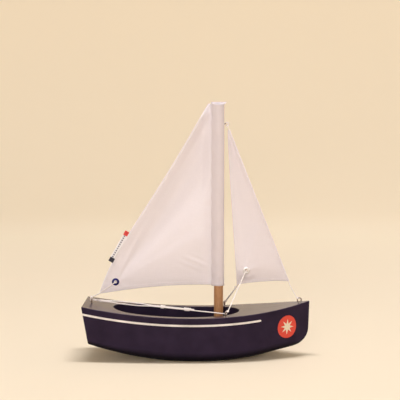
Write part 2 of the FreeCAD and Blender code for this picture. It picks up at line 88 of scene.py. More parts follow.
# Ribbon on the leech: the middle of its sewn edge, the way it stands out, and the line of its dashes
TAG_LOW = Vector((MAIN_LEECH[1][0], 0, MAIN_LEECH[1][1]))
TAG_HIGH = Vector((MAIN_LEECH[2][0], 0, MAIN_LEECH[2][1]))
TAG_ALONG = (TAG_HIGH - TAG_LOW).normalized()
TAG_OUT = Vector((-TAG_ALONG.z, 0, TAG_ALONG.x))
TAG_MIDDLE = TAG_LOW + TAG_ALONG * 23.5
TAG_ROW = (TAG_MIDDLE * MM).dot(TAG_OUT) + 2.4 * MM
LEECH_TILT = math.radians(-29.5)

# Studio: the powers of the lights, the air's strength and the paper's glow far from the boat
KEY_POWER = 19.5
FRONT_POWER = 3.2
BACK_POWER = 0.6
AIR = 0.17
FAR_GLOW = 0.245
LAMP_COLOUR = (0.985, 0.975, 1.0)


# ---- small geometry helpers


def in_plane(spot):
    """The point of the middle plane at an (x, z) place in millimetres."""
    return Vector((spot[0], 0, spot[1])) * MM


def mesh_object(name, points, faces):
    mesh = bpy.data.meshes.new(name)
    mesh.from_pydata([tuple(p) for p in points], [], faces)
    mesh.polygons.foreach_set("use_smooth", [True] * len(mesh.polygons))
    mesh.update()
    obj = bpy.data.objects.new(name, mesh)
    bpy.context.scene.collection.objects.link(obj)
    return obj


def join(name, objects):
    """One object out of several, keeping each one's material."""
    bpy.ops.object.select_all(action="DESELECT")
    for obj in objects:
        obj.select_set(True)
    bpy.context.view_layer.objects.active = objects[0]
    bpy.ops.object.join()
    objects[0].name = name
    return objects[0]


def smooth_path(points, steps):
    """An even set of points on the smooth spline whose control points are given."""
    curve = bpy.data.curves.new("path", "CURVE")
    curve.dimensions = "3D"
    spline = curve.splines.new("NURBS")
    spline.points.add(len(points) - 1)
    for slot, point in zip(spline.points, points):
        slot.co = (*point, 1)
    spline.order_u = min(3, len(points))
    spline.use_endpoint_u = True
    spline.resolution_u = 16
    holder = bpy.data.objects.new("path", curve)
    flat = bpy.data.meshes.new_from_object(holder)
    dense = np.array([v.co for v in flat.vertices])
    bpy.data.objects.remove(holder)
    bpy.data.curves.remove(curve)
    bpy.data.meshes.remove(flat)
    return spaced(dense, steps)


def spaced(points, steps):
    """The same line with steps + 1 evenly spaced points."""
    points = np.asarray(points, float)
    lengths = np.linalg.norm(np.diff(points, axis=0), axis=1)
    along = np.concatenate([[0], np.cumsum(lengths)])
    wanted = np.linspace(0, along[-1], steps + 1)
    return np.stack([np.interp(wanted, along, points[:, k]) for k in range(3)], axis=1)


def frames_along(path):
    """Two sideways directions at each point of a path, turning as little as they can."""
    path = np.asarray(path, float)
    tangent = np.gradient(path, axis=0)
    tangent /= np.linalg.norm(tangent, axis=1)[:, None]
    side = np.cross(tangent[0], (0.0, 0.0, 1.0))
    if np.linalg.norm(side) < 0.1:
        side = np.cross(tangent[0], (0.0, 1.0, 0.0))
    sides = []
    for t in tangent:
        side = side - t * np.dot(side, t)
        side = side / np.linalg.norm(side)
        sides.append(side)
    sides = np.array(sides)
    return tangent, sides, np.cross(tangent, sides)


def ring_faces(rows, sides, start=0):
    """Faces between rows of points, each row a closed ring."""
    faces = []
    for i in range(rows - 1):
        for k in range(sides):
            a, b = start + i * sides + k, start + i * sides + (k + 1) % sides
            faces.append((a, b, b + sides, a + sides))
    return faces


def tube(name, path, radius, sides, relief=None):
    """A closed round tube. relief(step, turn) scales its radius at a point of its surface."""
    path = np.asarray(path, float)
    tangent, across, up = frames_along(path)
    count = len(path)
    points = []
    for i in range(count):
        end = min(i, count - 1 - i)
        for k in range(sides):
            turn = 2 * math.pi * k / sides
            size = radius * (relief(i, turn) if relief else 1.0)
            size *= (0.72, 0.93)[end] if end < 2 else 1.0
            points.append(path[i] + size * (math.cos(turn) * across[i] + math.sin(turn) * up[i]))
    faces = ring_faces(count, sides)
    points.append(path[0] - tangent[0] * radius * 0.3)
    points.append(path[-1] + tangent[-1] * radius * 0.3)
    first, last = len(points) - 2, len(points) - 1
    for k in range(sides):
        faces.append((first, (k + 1) % sides, k))
        tail = (count - 1) * sides
        faces.append((last, tail + k, tail + (k + 1) % sides))
    return mesh_object(name, points, faces)


def braided(name, path):
    """A cord with the crossed ridges of a braided cover."""
    length = np.linalg.norm(np.diff(path, axis=0), axis=1).sum()
    path = spaced(path, max(12, int(length / (0.3 * MM))))
    pitch = 2.4 * MM
    step = length / (len(path) - 1)

    def relief(i, turn):
        phase = 2 * math.pi * i * step / pitch
        return 1.0 + 0.07 * math.cos(3 * turn + phase) * math.cos(3 * turn - phase)

    return tube(name, path, CORD, 18, relief)


def knot_path(centre, along, size, twist):
    """A trefoil, the path of an overhand knot, with its open way along the cord."""
    along = Vector(along).normalized()
    turn = Vector((0, 0, 1)).rotation_difference(along).to_matrix() @ Matrix.Rotation(twist, 3, "Z")
    points = []
    for k in range(65):
        t = 2 * math.pi * k / 64
        x = math.sin(t) + 2 * math.sin(2 * t)
        y = math.cos(t) - 2 * math.cos(2 * t)
        z = -1.5 * math.sin(3 * t)
        points.append(Vector(centre) + turn @ (Vector((x, y, z)) * size / 3.6))
    return np.array(points)


def knot(name, centre, along, size, radius, twist=0.0):
    return tube(name, knot_path(centre, along, size, twist), radius, 10)


def lathe(name, profile, centre, axis, steps):
    """Turns a closed (radius, height) outline round an axis."""
    turn = Vector((0, 0, 1)).rotation_difference(Vector(axis).normalized()).to_matrix()
    points = []
    for k in range(steps):
        angle = 2 * math.pi * k / steps
        for radius, height in profile:
            spot = Vector((radius * math.cos(angle), radius * math.sin(angle), height))
            points.append(Vector(centre) + turn @ spot)
    n = len(profile)
    faces = []
    for k in range(steps):
        for j in range(n):
            a, b = k * n + j, k * n + (j + 1) % n
            c, d = ((k + 1) % steps) * n + (j + 1) % n, ((k + 1) % steps) * n + j
            faces.append((a, b, c, d))
    return mesh_object(name, points, faces)


def interpolate(points, share):
    """A smooth curve through (x, z) points at share 0 to 1, measured by their spacing."""
    points = np.asarray(points, float)
    along = np.concatenate([[0], np.cumsum(np.linalg.norm(np.diff(points, axis=0), axis=1))])
    along /= along[-1]
    degree = len(points) - 1
    x = np.polyfit(along, points[:, 0], degree)
    z = np.polyfit(along, points[:, 1], degree)
    return np.polyval(x, share), np.polyval(z, share)


def bump(distance, width):
    """1 at distance 0, falling smoothly to nothing beyond about twice the width."""
    return np.exp(-((distance / width) ** 2))


def ease(value):
    """From 0 to 1 with level ends."""
    value = np.clip(value, 0, 1)
    return value * value * (3 - 2 * value)


# ---- procedural materials


class Nodes:
    """Builds one node material."""

    def __init__(self, name):
        self.material = bpy.data.materials.new(name)
        self.material.use_nodes = True
        self.tree = self.material.node_tree
        self.tree.nodes.clear()
        self.output = self.add("ShaderNodeOutputMaterial")
        self.shader = self.add("ShaderNodeBsdfPrincipled")
        self.link(self.shader, "BSDF", self.output, "Surface")
        self.place = self.add("ShaderNodeTexCoord")

    def add(self, kind, **settings):
        node = self.tree.nodes.new(kind)
        for key, value in settings.items():
            setattr(node, key, value)
        return node

    def link(self, source, output, target, slot):
        self.tree.links.new(source.outputs[output], target.inputs[slot])

    def mapped(self, scale=(1, 1, 1), turn=(0, 0, 0)):
        node = self.add("ShaderNodeMapping")
        node.inputs["Scale"].default_value = scale
        node.inputs["Rotation"].default_value = turn
        self.link(self.place, "Object", node, "Vector")
        return node

    def noise(self, scale, detail=3.0, stretch=(1, 1, 1), roughness=0.5):
        node = self.add("ShaderNodeTexNoise")
        node.inputs["Scale"].default_value = scale
        node.inputs["Detail"].default_value = detail
        node.inputs["Roughness"].default_value = roughness
        self.link(self.mapped(stretch), "Vector", node, "Vector")
        return node

    def wave(self, direction, period, distortion=0.0, turn=(0, 0, 0)):
        node = self.add("ShaderNodeTexWave", bands_direction=direction)
        node.inputs["Scale"].default_value = 2 * math.pi / (20 * period)
        node.inputs["Distortion"].default_value = distortion
        self.link(self.mapped((1, 1, 1), turn), "Vector", node, "Vector")
        return node

    def ramp(self, source, output, stops):
        node = self.add("ShaderNodeValToRGB")
        elements = node.color_ramp.elements
        while len(elements) < len(stops):
            elements.new(0.5)
        for element, (place, colour) in zip(elements, stops):
            element.position = place
            element.color = (*colour, 1)
        self.link(source, output, node, "Fac")
        return node

    def math(self, operation, a, b):
        node = self.add("ShaderNodeMath", operation=operation)
        for slot, value in enumerate((a, b)):
            if isinstance(value, bpy.types.Node):
                value = (value, "Value")
            if isinstance(value, tuple):
                self.tree.links.new(value[0].outputs[value[1]], node.inputs[slot])
            else:
                node.inputs[slot].default_value = value
        return node

    def range(self, source, output, low, high):
        node = self.add("ShaderNodeMapRange")
        node.inputs["To Min"].default_value = low
        node.inputs["To Max"].default_value = high
        self.link(source, output, node, "Value")
        return node

    def span(self, source, output, low, high):
        """0 at low and 1 at high, held beyond both."""
        node = self.add("ShaderNodeMapRange")
        node.inputs["From Min"].default_value = low
        node.inputs["From Max"].default_value = high
        self.link(source, output, node, "Value")
        return node

    def mixed(self, source, output, first, second):
        """From the colour output first to the colour second, by a factor."""
        node = self.add("ShaderNodeMix", data_type="RGBA")
        self.tree.links.new(source.outputs[output], node.inputs[0])
        self.tree.links.new(first[0].outputs[first[1]], node.inputs[6])
        node.inputs[7].default_value = (*second, 1)
        return node, 2

    def bumped(self, source, output, strength, distance):
        node = self.add("ShaderNodeBump")
        node.inputs["Strength"].default_value = strength
        node.inputs["Distance"].default_value = distance
        self.link(source, output, node, "Height")
        self.link(node, "Normal", self.shader, "Normal")
        return node

    def set(self, **values):
        for key, value in values.items():
            self.shader.inputs[key.replace("_", " ")].default_value = value
        return self


def around(colour, spread):
    """A darker and a lighter version of a colour."""
    return [tuple(c * (1 - spread) for c in colour), tuple(min(1, c * (1 + spread)) for c in colour)]


def painted_wood(name, colour, roughness, shine, deck=None, bottom_shade=None):
    """Satin paint brushed along the grain. The deck is glossier, and its upward faces carry a painted
    sheen, a lighter and redder tint; faces turned down carry painted shade, a darker tint.
    """
    m = Nodes(name)
    cloud = m.noise(60, 4, (1, 1, 1))
    dark, light = around(colour, 0.16)
    tint = (m.ramp(cloud, "Fac", [(0.3, dark), (0.7, light)]), "Color")
    if deck:
        faces = m.add("ShaderNodeSeparateXYZ")
        m.link(m.place, "Normal", faces, "Vector")
        heights = m.add("ShaderNodeSeparateXYZ")
        m.link(m.place, "Object", heights, "Vector")
        level = m.span(faces, "Z", 0.55, 0.9)
        on_deck = m.span(heights, "Z", 0.036, 0.042)
        upward = m.math("MULTIPLY", (level, "Result"), (on_deck, "Result"))
        m.link(m.math("MULTIPLY", upward, 0.86), "Value", m.shader, "Coat Weight")
        # Painted sheen: upward faces of the deck mixed towards a lighter, redder colour
        tint = m.mixed(upward, "Value", tint, deck)
        # Painted shade: faces turned downward mixed towards a much darker colour
        tint = m.mixed(m.span(faces, "Z", -0.12, -0.6), "Result", tint, bottom_shade)
    m.tree.links.new(tint[0].outputs[tint[1]], m.shader.inputs["Base Color"])
    grain = m.noise(260, 5, (0.06, 1, 1), 0.6)
    gloss = m.range(grain, "Fac", roughness - 0.05, roughness + 0.07)
    m.link(gloss, "Result", m.shader, "Roughness")
    m.bumped(grain, "Fac", 0.05, 0.0002)
    m.set(Specular_IOR_Level=shine, Coat_Roughness=0.24, Coat_IOR=1.5)
    return m.material


def beech(name):
    m = Nodes(name)
    fibre = m.noise(900, 6, (1, 1, 0.035), 0.62)
    tones = [(0.30, (0.35, 0.16, 0.07)), (0.52, (0.50, 0.255, 0.115)), (0.72, (0.60, 0.335, 0.165))]
    colour = m.ramp(fibre, "Fac", tones)
    flecks = m.noise(2600, 2, (1, 1, 0.1))
    fleck = m.ramp(flecks, "Fac", [(0.60, (1, 1, 1)), (0.70, (0.66, 0.52, 0.42))])
    mix = m.add("ShaderNodeMix", data_type="RGBA", blend_type="MULTIPLY")
    mix.inputs[0].default_value = 1.0
    m.tree.links.new(colour.outputs["Color"], mix.inputs[6])
    m.tree.links.new(fleck.outputs["Color"], mix.inputs[7])
    m.tree.links.new(mix.outputs[2], m.shader.inputs["Base Color"])
    m.link(m.range(fibre, "Fac", 0.45, 0.62), "Result", m.shader, "Roughness")
    m.bumped(fibre, "Fac", 0.3, 0.0001)
    return m.material


def cotton(name, colour, tilt=0.0):
    """Plain weave, over and under at the scale of the threads, with slubs and a little sheen."""
    m = Nodes(name)
    turn, thread = (0, tilt, 0), 0.42 * MM
    warp = m.wave("X", thread, 0.6, turn)
    weft = m.wave("Z", thread, 0.6, turn)
    weave = m.math("MAXIMUM", (warp, "Fac"), (weft, "Fac"))
    slub_z = m.noise(1500, 2, (1, 1, 0.05))
    slub_x = m.noise(1500, 2, (0.05, 1, 1))
    slubs = m.math("ADD", (slub_z, "Fac"), (slub_x, "Fac"))
    dark, light = around(colour, 0.012)
    tint = m.ramp(m.math("MULTIPLY", (slubs, "Value"), 0.5), "Value", [(0.4, dark), (0.62, light)])
    m.link(tint, "Color", m.shader, "Base Color")
    height = m.math("ADD", (weave, "Value"), (m.math("MULTIPLY", (slubs, "Value"), 0.8), "Value"))
    m.bumped(height, "Value", 0.3, 0.00006)
    m.set(Roughness=0.86, Sheen_Weight=0.18, Sheen_Roughness=0.5, Specular_IOR_Level=0.2)
    clear = m.add("ShaderNodeBsdfTranslucent")
    m.link(tint, "Color", clear, "Color")
    blend = m.add("ShaderNodeMixShader")
    blend.inputs["Fac"].default_value = 0.14
    m.link(m.shader, "BSDF", blend, 1)
    m.link(clear, "BSDF", blend, 2)
    m.link(blend, "Shader", m.output, "Surface")
    return m.material


def cord_fibre(name, colour):
    m = Nodes(name)
    fuzz = m.noise(3500, 4)
    dark, light = around(colour, 0.10)
    m.link(m.ramp(fuzz, "Fac", [(0.3, dark), (0.7, light)]), "Color", m.shader, "Base Color")
    m.bumped(fuzz, "Fac", 0.5, 0.0001)
    m.set(Roughness=0.75, Sheen_Weight=0.3, Sheen_Roughness=0.4)
    return m.material


def metal(name, colour, roughness):
    m = Nodes(name)
    wear = m.noise(1800, 5)
    dark, light = around(colour, 0.2)
    m.link(m.ramp(wear, "Fac", [(0.35, dark), (0.65, light)]), "Color", m.shader, "Base Color")
    m.link(m.range(wear, "Fac", roughness - 0.08, roughness + 0.12), "Result", m.shader, "Roughness")
    m.bumped(wear, "Fac", 0.15, 0.00005)
    m.set(Metallic=1.0)
    return m.material


def print_film(name, colour):
    """Printed vinyl: fine mottle in the ink and a soft gloss."""
    m = Nodes(name)
    mottle = m.noise(1400, 4)
    dark, light = around(colour, 0.08)
    m.link(m.ramp(mottle, "Fac", [(0.3, dark), (0.7, light)]), "Color", m.shader, "Base Color")
    m.link(m.range(mottle, "Fac", 0.37, 0.50), "Result", m.shader, "Roughness")
    m.bumped(m.noise(500, 2), "Fac", 0.08, 0.0001)
    return m.material


def ribbon(name, colour, tilt, dashes=False):
    """Woven satin ribbon with a fine rib across its width, and a row of dark dashes along one."""
    m = Nodes(name)
    rib = m.wave("Z", 0.34 * MM, 0.4, (0, tilt, 0))
    dark, light = around(colour, 0.14)
    tint = (m.ramp(rib, "Fac", [(0.2, dark), (0.8, light)]), "Color")
    if dashes:
        along = m.wave("Z", 2.3 * MM, 0.0, (0, tilt, 0))
        beat = m.span(along, "Fac", 0.30, 0.45)
        across = m.add("ShaderNodeVectorMath", operation="DOT_PRODUCT")
        across.inputs[1].default_value = tuple(TAG_OUT)
        m.link(m.place, "Object", across, 0)
        row = m.math("ABSOLUTE", m.math("SUBTRACT", (across, "Value"), TAG_ROW), 0.0)
        inside = m.span(row, "Value", 0.80 * MM, 0.60 * MM)
        mask = m.math("MULTIPLY", (beat, "Result"), (inside, "Result"))
        tint = m.mixed(mask, "Value", tint, (0.10, 0.09, 0.14))
    m.tree.links.new(tint[0].outputs[tint[1]], m.shader.inputs["Base Color"])
    m.bumped(rib, "Fac", 0.5, 0.0001)
    m.set(Roughness=0.6, Sheen_Weight=0.25)
    return m.material


navy_paint = painted_wood("navy_paint", (0.0245, 0.0158, 0.0365), 0.40, 0.06, DECK_SHEEN_TINT, BOTTOM_SHADE_TINT)
stripe_paint = painted_wood("stripe_paint", (0.72, 0.68, 0.68), 0.42, 0.4)
mast_wood = beech("mast_wood")
sail_cotton = cotton("sail_cotton", (0.885, 0.835, 0.890))
# Painted shade: the sleeve's cotton is the sail's cloth made darker, for the mast seen dark through it
# and the shade where it meets the sail
shaded_sleeve_cotton = cotton("shaded_sleeve_cotton", (0.78, 0.715, 0.76))
jib_cotton = cotton("jib_cotton", (0.865, 0.81, 0.86), tilt=math.radians(21.5))
thread_white = cord_fibre("thread_white", (0.82, 0.79, 0.82))
white_cord = cord_fibre("white_cord", (0.86, 0.80, 0.78))
eye_metal = metal("eye_metal", (0.33, 0.26, 0.24), 0.34)
navy_enamel = metal("navy_enamel", (0.035, 0.035, 0.16), 0.30)
nickel = metal("nickel", (0.92, 0.85, 0.84), 0.66)
badge_red = print_film("badge_red", (0.64, 0.047, 0.027))
badge_cream = print_film("badge_cream", (0.72, 0.64, 0.50))
ribbon_white = ribbon("ribbon_white", (0.80, 0.77, 0.80), LEECH_TILT, True)
ribbon_red = ribbon("ribbon_red", (0.64, 0.035, 0.03), LEECH_TILT)
ribbon_blue = ribbon("ribbon_blue", (0.008, 0.006, 0.022), LEECH_TILT)


def paint(obj, material):
    obj.data.materials.clear()
    obj.data.materials.append(material)
    return obj


def paint_node(node, material):
    """A material for a CAD node, whose shape stays as it is."""
    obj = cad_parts[node]
    if not obj.material_slots:
        obj.data.materials.append(material)
    for place in obj.material_slots:
        place.link = "OBJECT"
        place.material = material


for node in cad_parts:
    paint_node(node, white_cord)
paint_node("hull", navy_paint)
paint_node("mast", mast_wood)
for side in ("starboard", "port"):
    paint_node("stripe_" + side, stripe_paint)
    paint_node("badge_" + side, badge_red)
    paint_node("badge_star_" + side, badge_cream)


# ---- sails


class Sail:
    """A sail as a surface over u, from the luff to the leech, and v, from the foot to the head."""

    def __init__(self, luff, leech, foot, eyelet, shape):
        self.luff, self.leech, self.foot = luff, leech, foot
        self.eyelet, self.shape = eyelet, shape
        (x0, z0), (x1, z1) = luff[0], luff[-1]
        self.tall = math.hypot(x1 - x0, z1 - z0)

    def flat(self, u, v):
        """The (x, z) place of the cloth as if it were laid flat, in millimetres."""
        lx, lz = interpolate(self.luff, v)
        ex, ez = interpolate(self.leech, v)
        fx, fz = interpolate(self.foot, u)
        first, last = self.foot[0], self.foot[-1]
        hollow = (1 - v) ** 2.5
        x = lx + u * (ex - lx)
        z = lz + u * (ez - lz)
        x = x + hollow * (fx - (first[0] + u * (last[0] - first[0])))
        z = z + hollow * (fz - (first[1] + u * (last[1] - first[1])))
        return x, z

    def surface(self, u, v):
        """Points of the cloth's middle surface, in metres."""
        x, z = self.flat(u, v)
        return np.stack([x, self.shape(u, v, x, z), z], axis=-1) * MM

    def normal(self, u, v):
        """The direction that the cloth's starboard face looks in."""
        step = 0.004
        du = self.surface(np.clip(u + step, 0, 1), v) - self.surface(np.clip(u - step, 0, 1), v)
        dv = self.surface(u, np.clip(v + step, 0, 1)) - self.surface(u, np.clip(v - step, 0, 1))
        n = np.cross(du, dv)
        n = n / np.linalg.norm(n, axis=-1, keepdims=True)
        return np.where(n[..., 1:2] > 0, -n, n)

    def sizes(self, u, v):
        """Millimetres from the leech and from the foot."""
        lx, lz = interpolate(self.luff, v)
        ex, ez = interpolate(self.leech, v)
        width = np.hypot(ex - lx, ez - lz)
        return (1 - u) * width, v * self.tall


def waves(angle, places):
    """A smooth line through (angle, depth) places, level at each one."""
    depth = np.full_like(angle, places[0][1])
    for (start, before), (end, after) in zip(places, places[1:]):
        depth = depth + (after - before) * ease((angle - start) / (end - start))
    return depth


def main_shape(u, v, x, z):
    """How far the mainsail stands to port, in mm: one fold inside the leech and a fan from the clew."""
    ex, ez = MAIN_EYELET
    far = np.hypot(x - ex, z - ez)
    angle = np.degrees(np.arctan2(z - ez, x - ex))
    from_luff = ease((x - MAIN_LUFF[0][0]) / -11.0)
    fan = waves(angle, [(-6.0, 0.2), (27.0, -2.4), (36.0, -1.6), (55.0, 4.4), (64.0, -1.2)])
    fan = fan + 0.35 * np.sin(np.radians(angle) * 21 + 0.6) * bump(angle - 44, 16)
    fan = fan * far / 100 * from_luff
    from_leech = (1 - u) * (110 - 106 * v)
    leech_fold = ease((from_leech - 2.5) / 8) - ease((from_leech - 10.5) / 24)
    leech_fold = 2.1 * leech_fold * ease((far - 12) / 40)
    belly = 1.6 * np.sin(math.pi * np.clip(u, 0, 1)) * np.sin(math.pi * np.clip(0.05 + 0.95 * v, 0, 1))
    head_corner = 3.4 * ease((z - 232) / 14) * ease(u * 2.2)
    foot_roll = 1.0 * bump(v * 176, 4.0) * ease(u * 6) * ease(far / 14)
    pucker = 0.30 * np.cos(np.radians(angle) * 8 + 0.7) * np.exp(-np.maximum(far - 3.6, 0) / 9.0)
    pucker = pucker * ease((far - 3.4) / 3.0)
    slant = z + 0.42 * (x - MAST_X / MM)
    crease = 0.42 * np.sin(slant / 1.05) * bump(z - 92, 6) * bump(x + 2, 11)
    crease = crease + 0.30 * np.sin(z / 2.6 + 2.0 * np.sin(z / 11.0)) * np.exp(-u / 0.08) * ease(u * 14)
    seat = bump(far, 6.0)
    return (fan + leech_fold + belly + head_corner + foot_roll + crease) * (1 - seat) + pucker


def jib_shape(u, v, x, z):
    """The jib hangs nearly flat, with its foot and clew corner curling away to port."""
    ex, ez = JIB_EYELET
    far = np.hypot(x - ex, z - ez)
    angle = np.degrees(np.arctan2(z - ez, x - ex))
    from_luff = ease(u * 4)
    fan = waves(angle, [(-25.0, 1.6), (20.0, -0.9), (72.0, -1.0), (95.0, 1.1), (104.0, 0.6)])
    fan = fan * far / (far + 40) * 1.5 * from_luff
    belly = 1.8 * np.sin(math.pi * np.clip(u, 0, 1)) * np.sin(math.pi * np.clip(0.08 + 0.92 * v, 0, 1))
    clew_curl = 5.0 * ease((u - 0.45) / 0.55) * bump(v * 158, 11) * ease((far - 3) / 9)
    foot_curl = 2.0 * bump(v * 158, 7.0) * np.sin(math.pi * np.clip(u, 0, 1)) * ease((far - 3) / 9)
    pucker = 0.22 * np.cos(np.radians(angle) * 7) * np.exp(-np.maximum(far - 3.6, 0) / 7.0)
    pucker = pucker * ease((far - 3.4) / 3.0)
    seat = bump(far, 5.5)
    ripple = 0.20 * np.sin(z / 2.3 + 1.7 * np.sin(z / 9.0)) * np.exp(-u / 0.2) * ease(u * 12)
    return (belly + fan + clew_curl + foot_curl + ripple) * (1 - seat) + pucker


mainsail = Sail(MAIN_LUFF, MAIN_LEECH, MAIN_FOOT, MAIN_EYELET, main_shape)
jib = Sail(JIB_LUFF, JIB_LEECH, JIB_FOOT, JIB_EYELET, jib_shape)


def sail_cloth(name, sail, hem, columns, rows, material):
    """A closed two-sided cloth whose leech and foot are folded over into a thicker hem."""
    edge = [0, 0.12, 0.5, 1.1, 0.45 * hem + 0.6, hem - 0.55, hem - 0.15, hem + 0.15, hem + 0.6]
    foot_v = [e / sail.tall for e in edge]
    v_list = np.array(foot_v + list(np.linspace(foot_v[-1] + 0.007, 1.0, rows)))
    grids_u, grids_v = [], []
    for v in v_list:
        wide = float(sail.sizes(np.array(0.0), np.array(v))[0])
        shrink = min(1.0, wide / (2.2 * hem))
        from_leech = [1 - e * shrink / wide for e in edge]
        rest = np.linspace(0.0, from_leech[-1] - 0.008, columns)
        grids_u.append(list(rest) + from_leech[::-1])
        grids_v.append([v] * (columns + len(edge)))
    u, v = np.array(grids_u), np.array(grids_v)
    from_leech, from_foot = sail.sizes(u, v)
    inside = np.minimum(from_leech, from_foot)
    folded = 1 - ease((inside - (hem - 0.2)) / 0.5)
    rolled = np.sqrt(np.clip(inside / 0.5, 0.04, 1))
    half = CLOTH * (0.5 + 0.95 * folded) * rolled
    middle, normal = sail.surface(u, v), sail.normal(u, v)
    seam_dip = 0.24 * MM * bump(inside - (hem - 0.7), 0.40)
    front = middle + normal * (half - seam_dip)[..., None]
    back = middle - normal * (half - seam_dip)[..., None]
    m, n = u.shape
    points = np.concatenate([front.reshape(-1, 3), back.reshape(-1, 3)])
    ex, ez = sail.eyelet
    x, z = sail.flat(u, v)
    faces = []
    hole = EYELET_HOLE / MM + 0.3
    gone = set()
    for i in range(m - 1):
        for j in range(n - 1):
            corners = [(i, j), (i + 1, j), (i + 1, j + 1), (i, j + 1)]
            near = max(math.hypot(x[c] - ex, z[c] - ez) for c in corners)
            if near < hole + 0.9:
                gone.add((i, j))
                continue
            a = [c[0] * n + c[1] for c in corners]
            faces.append(tuple(a))
            faces.append(tuple(k + m * n for k in reversed(a)))
    for i in range(m - 1):
        for j in range(n - 1):
            if (i, j) in gone:
                continue
            sides = [((i, j), (i + 1, j), (i, j - 1)), ((i + 1, j), (i + 1, j + 1), (i + 1, j))]
            sides += [((i + 1, j + 1), (i, j + 1), (i, j + 1)), ((i, j + 1), (i, j), (i - 1, j))]
            for p, q, beyond in sides:
                outside = not (0 <= beyond[0] < m - 1 and 0 <= beyond[1] < n - 1)
                if outside or beyond in gone:
                    a, b = p[0] * n + p[1], q[0] * n + q[1]
                    faces.append((b, a, a + m * n, b + m * n))
    obj = mesh_object(name, points, faces)
    return paint(obj, material)


def stitches(name, sail, line, pitch, length, thick):
    """A row of thread stitches standing on both faces of a sail, along a line of (u, v) points."""
    line = np.asarray(line, float)
    spots = sail.surface(line[:, 0], line[:, 1])
    along = np.concatenate([[0], np.cumsum(np.linalg.norm(np.diff(spots, axis=0), axis=1))])
    count = int(along[-1] / pitch)
    paths = []
    for k in range(count):
        span = []
        for part in (-0.5, -0.22, 0.22, 0.5):
            d = (k + 0.5) * pitch + part * length
            u = np.array(np.interp(d, along, line[:, 0]))
            v = np.array(np.interp(d, along, line[:, 1]))
            span.append((u, v, part))
        for face in (1, -1):
            path = []
            for u, v, part in span:
                height = thick + (0.12 * MM if abs(part) < 0.3 else -0.12 * MM)
                path.append(sail.surface(u, v) + sail.normal(u, v) * face * height)
            paths.append(np.array(path))
    points, faces = [], []
    for path in paths:
        across, up = frames_along(path)[1:]
        start = len(points)
        for i, spot in enumerate(path):
            size = STITCH * (0.55 if i in (0, len(path) - 1) else 1.0)
            for s in range(6):
                turn = math.pi * s / 3
                points.append(spot + size * (math.cos(turn) * across[i] + math.sin(turn) * up[i]))
        faces += ring_faces(len(path), 6, start)
        faces.append(tuple(start + s for s in reversed(range(6))))
        faces.append(tuple(start + (len(path) - 1) * 6 + s for s in range(6)))
    return paint(mesh_object(name, points, faces), thread_white)


def leech_line(sail, inset):
    """(u, v) points at a distance in millimetres inside the leech."""
    v = np.linspace(0.03, 0.955, 120)
    wide = sail.sizes(np.zeros(120), v)[0]
    return np.stack([1 - inset / wide, v], axis=1)


def foot_line(sail, inset, last):
    """(u, v) points at a distance in millimetres above the foot, as far as u = last."""
    u = np.linspace(0.03, last, 90)
    return np.stack([u, np.full(90, inset / sail.tall)], axis=1)


main_cloth = sail_cloth("mainsail_cloth", mainsail, hem=3.2, columns=84, rows=128, material=sail_cotton)
jib_cloth = sail_cloth("jib_cloth", jib, hem=2.4, columns=48, rows=110, material=jib_cotton)
HEM_LIFT = 0.4 * MM
SEAM_LIFT = 0.2 * MM
main_seam = [(0.035, v) for v in np.linspace(0.01, 0.9, 60)]
main_rows = [
    stitches("main_leech", mainsail, leech_line(mainsail, 2.6), 2.5 * MM, 1.8 * MM, HEM_LIFT),
    stitches("main_foot", mainsail, foot_line(mainsail, 2.6, 0.95), 2.5 * MM, 1.8 * MM, HEM_LIFT),
    stitches("main_seam", mainsail, main_seam, 2.6 * MM, 1.9 * MM, SEAM_LIFT),
]
main_thread = join("mainsail_stitching", main_rows)
jib_seam = [(0.055 + 0.09 * v, v) for v in np.linspace(0.02, 0.85, 60)]
jib_rows = [
    stitches("jib_leech_row", jib, leech_line(jib, 1.9), 2.4 * MM, 1.7 * MM, HEM_LIFT),
    stitches("jib_foot_row", jib, foot_line(jib, 1.9, 0.93), 2.4 * MM, 1.7 * MM, HEM_LIFT),
    stitches("jib_luff_row", jib, jib_seam, 2.4 * MM, 1.7 * MM, SEAM_LIFT),
]
jib_thread = join("jib_stitching", jib_rows)
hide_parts("mainsail_panel", "mainsail_hem")
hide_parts("jib_panel", "jib_hem")
for body, pieces in (("mainsail", (main_cloth, main_thread)), ("jib", (jib_cloth, jib_thread))):
    for obj in pieces:
        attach(obj, body)


# ---- sleeve on the mast


